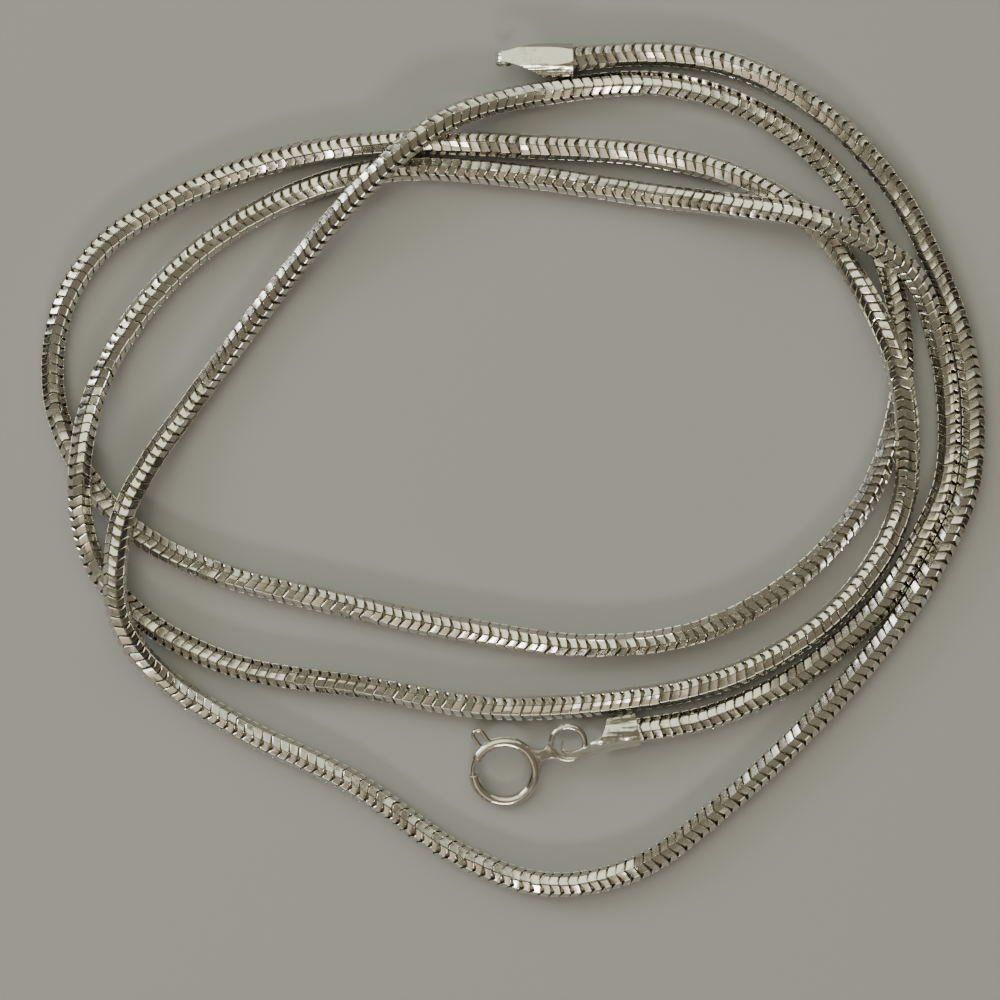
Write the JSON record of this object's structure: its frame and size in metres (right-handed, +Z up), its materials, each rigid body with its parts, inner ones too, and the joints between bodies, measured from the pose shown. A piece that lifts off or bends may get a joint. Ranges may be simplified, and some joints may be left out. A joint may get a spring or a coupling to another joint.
{
  "type": "snake chain necklace",
  "caption": "Round snake chain necklace lying in a loose coil, with a stamped cap on each end and a spring ring clasp whose bolt draws back.",
  "frame": {"origin": "centre of the coil's bounding box, on the surface that the chain lies on", "axes": "+X to the right as seen from above, +Y away from the clasp side, +Z up from the surface"},
  "size_m": [0.0754, 0.0683, 0.004],
  "materials": {
    "chain_silver": "polished sterling silver, darker between the links",
    "cap_silver": "polished sterling silver sheet",
    "clasp_silver": "polished sterling silver tube",
    "bolt_silver": "polished sterling silver wire"
  },
  "bodies": {
    "necklace": {"chain": "chain_silver", "tail_cap": "cap_silver", "clasp_cap": "cap_silver", "clasp_ring": "clasp_silver"},
    "bolt": {"clasp_bolt": "bolt_silver"}
  },
  "joints": [
    {"name": "bolt_slide", "type": "hinge", "parent": "necklace", "child": "bolt", "pos_m": [-0.00072, -0.02427, 0.00097], "axis": [0, 0.2079, -0.9781], "range_deg": [0, 40], "stiffness_Nm_per_rad": 0.001, "springref_deg": -17.19}
  ]
}
